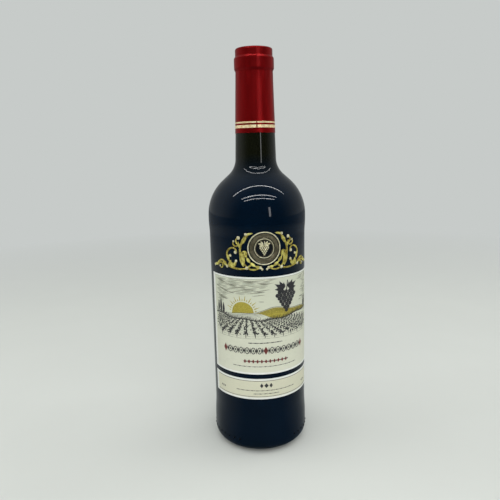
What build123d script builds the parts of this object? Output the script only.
import os
from math import degrees

from build123d import *

# A full 75 cl red wine bottle with broad shoulders and a slightly tapered body.
# Millimetres, +Z up, origin on the floor under the bottle's axis. The labels face -Y.

# Glass: each height is above the floor, each radius from the axis.
TOTAL_HEIGHT = 305.0
HEEL_RADIUS = 36.95
HEEL_ROUNDING = 9.5
HEEL_RING_RADIUS = 37.2
HEEL_RING_HEIGHT = 20.3
PANEL_FOOT_RADIUS = 36.45
PANEL_FOOT_HEIGHT = 32.0
PANEL_TOP_RADIUS = 37.0
PANEL_TOP_HEIGHT = 170.5
SHOULDER_RING_RADIUS = 37.5
SHOULDER_RING_HEIGHT = 178.0
SHOULDER_CORNER_HEIGHT = 198.8
SHOULDER_ROUNDING = 35.0
NECK_FOOT_RADIUS = 15.75
NECK_FOOT_HEIGHT = 218.3
NECK_FLARE = 16.0
SLIGHT_BEND = 60.0
PUNT_RADIUS = 24.0
PUNT_DEPTH = 12.0
BEARING_EDGE_ROUNDING = 1.5

# The mouth's finish: a broad ring with a slimmer lip above it.
NECK_TOP_RADIUS = 13.62
NECK_TOP_HEIGHT = 288.6
FINISH_RING_RADIUS = 14.5
FINISH_RING_FOOT = 290.4
FINISH_RING_TOP = 297.9
FINISH_ROUNDING = 1.0
LIP_RADIUS = 13.55
LIP_FOOT = 299.3
LIP_ROUNDING = 1.3

# The capsule, a thin metal sleeve drawn over the mouth and shrunk on to the neck.
CAPSULE_FOOT = 244.3
CAPSULE_WALL = 0.25
CAPSULE_TOP = 0.3

# The two paper labels, one above the other. The width is measured along the paper.
LABEL_PAPER = 0.15
LABEL_WIDTH = 95.0
MAIN_LABEL_FOOT = 65.5
MAIN_LABEL_TOP = 141.0
STRIP_LABEL_FOOT = 45.3
STRIP_LABEL_TOP = 61.8

# The gilt crest above the labels: a round medallion between two scrolled wings.
CREST_RADIUS = 36.98
CREST_HEIGHT = 162.3
MEDALLION_RADIUS = 12.3
MEDALLION_RINGS = [(12.3, 11.6), (10.8, 7.7), (7.3, 6.7)]
FIELD_RELIEF = 0.1
RING_RELIEF = 0.22
WING_RELIEF = 0.2
WING_GAP = 0.15

# The wing on the +X side, in four motifs. A motif lies flat on the glass at its
# middle. Its places are (across, height), across being the distance round the glass
# from the middle of the labels.
# band: centre across, centre height, radius, start angle, swept angle, width
# bead: centre across, centre height, radius
# leaf: centre across, centre height, length, width, lean from upright
WING_MOTIFS = [
    {   # the great scroll that clasps the medallion, with its broad leaf
        "middle": 13.0,
        "bands": [
            (2.7, 160.0, 15.2, -52, 106, 1.6),
            (8.2, 153.2, 6.6, -130, 80, 1.3),
            (14.6, 158.3, 1.9, 10, 180, 1.0),
        ],
        "beads": [(13.3, 172.6, 1.2), (13.0, 147.9, 1.4), (3.1, 148.2, 1.2), (1.8, 146.9, 0.9)],
        "leaves": [
            (16.3, 154.4, 12.0, 4.2, 8),
            (14.9, 168.4, 8.0, 2.8, -32),
            (10.8, 173.0, 6.0, 1.6, -80),
            (10.6, 149.6, 6.4, 1.4, -50),
        ],
    },
    {   # the second scroll, standing on the stem
        "middle": 22.0,
        "bands": [
            (18.0, 178.5, 31.5, -100, 28, 1.4),
            (23.7, 157.0, 5.4, -65, 155, 1.5),
            (23.5, 159.7, 2.7, 80, 130, 1.2),
        ],
        "beads": [(21.6, 159.3, 1.4), (26.0, 156.6, 1.1), (21.2, 152.8, 1.2)],
        "leaves": [
            (28.1, 155.0, 6.0, 2.6, 14),
            (27.6, 155.9, 4.0, 1.4, -70),
            (22.3, 150.4, 5.6, 2.4, -25),
            (24.5, 149.6, 4.8, 2.8, 20),
            (26.6, 150.4, 6.2, 2.6, -20),
        ],
    },
    {   # the small curl beside the great scroll
        "middle": 20.0,
        "bands": [(21.2, 165.9, 2.2, 150, 260, 1.1), (18.4, 167.6, 2.6, -80, 130, 1.1)],
        "beads": [(19.0, 169.9, 1.4), (22.9, 167.2, 0.8)],
        "leaves": [(18.2, 164.0, 5.0, 2.0, 20)],
    },
    {   # the end scroll, running out to a tip
        "middle": 35.0,
        "bands": [(34.3, 147.4, 5.0, 15, 150, 1.3), (35.4, 148.5, 2.0, 10, 300, 1.1)],
        "beads": [(29.2, 148.2, 1.2), (36.6, 147.6, 0.9), (43.4, 147.6, 1.1)],
        "leaves": [(31.0, 149.8, 6.4, 2.2, 65), (38.4, 150.2, 4.6, 1.8, -40), (40.6, 148.6, 7.0, 2.2, 103)],
    },
]

# Cutting tools reach this far out from the axis.
REACH = 45.0


def grown_bottle(growth, top):
    """The bottle's turned form with its walls moved out by the growth, closed at the top."""
    corners = [
        (HEEL_RADIUS, 0, HEEL_ROUNDING),
        (HEEL_RING_RADIUS, HEEL_RING_HEIGHT, 2.5 * SLIGHT_BEND),
        (PANEL_FOOT_RADIUS, PANEL_FOOT_HEIGHT, 1.5 * SLIGHT_BEND),
        (PANEL_TOP_RADIUS, PANEL_TOP_HEIGHT, SLIGHT_BEND),
        (SHOULDER_RING_RADIUS, SHOULDER_RING_HEIGHT, SLIGHT_BEND),
        (SHOULDER_RING_RADIUS, SHOULDER_CORNER_HEIGHT, SHOULDER_ROUNDING),
        (NECK_FOOT_RADIUS, NECK_FOOT_HEIGHT, NECK_FLARE),
        (NECK_TOP_RADIUS, NECK_TOP_HEIGHT, 2 * FINISH_ROUNDING),
        (FINISH_RING_RADIUS, FINISH_RING_FOOT, FINISH_ROUNDING),
        (FINISH_RING_RADIUS, FINISH_RING_TOP, FINISH_ROUNDING),
        (LIP_RADIUS, LIP_FOOT, FINISH_ROUNDING / 2),
        (LIP_RADIUS, top, LIP_ROUNDING),
    ]
    points = [(radius + growth, height) for radius, height, rounding in corners]
    roundings = [rounding for radius, height, rounding in corners]
    wall = FilletPolyline((0, 0), *points, (0, top), radius=roundings)
    section = make_face(wall + Line((0, top), (0, 0)))
    return revolve(Plane.XZ * section, Axis.Z)


def make_bottle():
    """Glass and wine in one solid, with a shallow punt and a flat bearing ring."""
    dome_radius = (PUNT_RADIUS**2 + PUNT_DEPTH**2) / (2 * PUNT_DEPTH)
    punt = Pos(Z=PUNT_DEPTH - dome_radius) * Sphere(dome_radius)
    bottle = grown_bottle(0, TOTAL_HEIGHT - CAPSULE_TOP) - punt
    base_edges = bottle.edges().filter_by(GeomType.CIRCLE).group_by(Axis.Z)[0]
    return fillet(base_edges.sort_by(SortBy.RADIUS)[0], BEARING_EDGE_ROUNDING)


def skin(bottle, growth):
    """A layer of one thickness all over the outside of the glass."""
    return grown_bottle(growth, TOTAL_HEIGHT - CAPSULE_TOP) - bottle


def make_capsule(bottle):
    """The sleeve's wall and its flat top, closed over the mouth."""
    above_foot = Pos(Z=CAPSULE_FOOT) * Cylinder(
        REACH, TOTAL_HEIGHT, align=(Align.CENTER, Align.CENTER, Align.MIN)
    )
    return (grown_bottle(CAPSULE_WALL, TOTAL_HEIGHT) & above_foot) - bottle


def make_label(paper, foot, top):
    """A band of the paper layer, centred on the front."""
    half_angle = degrees(LABEL_WIDTH / 2 / PANEL_FOOT_RADIUS)
    edge = Pos(0, foot) * Rectangle(REACH, top - foot, align=(Align.MIN, Align.MIN))
    wedge = revolve(Plane.XZ * edge, Axis.Z, 2 * half_angle)
    return paper & (Rot(Z=-90 - half_angle) * wedge)


def stamp(outline, across, layer):
    """Press a flat outline, drawn about a place across, into a layer on the glass."""
    die = extrude(Plane.XZ * Pos(-across, 0) * outline, REACH)
    return (Rot(Z=degrees(across / CREST_RADIUS)) * die) & layer


def disc(radius):
    """A round outline of the medallion."""
    return Pos(0, CREST_HEIGHT) * Circle(radius)


def make_medallion(field, raised):
    """A thin round plate with three raised rings."""
    medallion = stamp(disc(MEDALLION_RADIUS), 0, field)
    for outer, inner in MEDALLION_RINGS:
        medallion += stamp(disc(outer) - disc(inner), 0, raised)
    return medallion


def leaf(across, height, length, width, lean):
    """A pointed leaf where two equal discs cross."""
    radius = (length**2 + width**2) / (4 * width)
    offset = radius - width / 2
    blade = (Pos(-offset, 0) * Circle(radius)) & (Pos(offset, 0) * Circle(radius))
    return Pos(across, height) * Rot(Z=-lean) * blade


def motif_outline(motif):
    """One motif of a wing as a flat outline."""
    outline = Sketch()
    for across, height, radius, start, sweep, width in motif["bands"]:
        outline += SlotArc(CenterArc((across, height), radius, start, sweep), width)
    for across, height, radius in motif["beads"]:
        outline += Pos(across, height) * Circle(radius)
    for across, height, length, width, lean in motif["leaves"]:
        outline += leaf(across, height, length, width, lean)
    return outline


def make_wing(layer):
    """The four motifs joined, clear of the medallion."""
    motifs = [stamp(motif_outline(motif), motif["middle"], layer) for motif in WING_MOTIFS]
    wing = motifs[0].fuse(*motifs[1:])
    return wing - extrude(Plane.XZ * disc(MEDALLION_RADIUS + WING_GAP), REACH)


os.makedirs("parts", exist_ok=True)
bottle = make_bottle()
paper = skin(bottle, LABEL_PAPER)
wing = make_wing(skin(bottle, WING_RELIEF))
pieces = {
    "bottle": bottle,
    "capsule": make_capsule(bottle),
    "label_main": make_label(paper, MAIN_LABEL_FOOT, MAIN_LABEL_TOP),
    "label_strip": make_label(paper, STRIP_LABEL_FOOT, STRIP_LABEL_TOP),
    "crest_medallion": make_medallion(skin(bottle, FIELD_RELIEF), skin(bottle, RING_RELIEF)),
    "crest_wing_right": wing,
    "crest_wing_left": mirror(wing, Plane.YZ),
}
for name, piece in pieces.items():
    export_step(piece, f"parts/{name}.step")
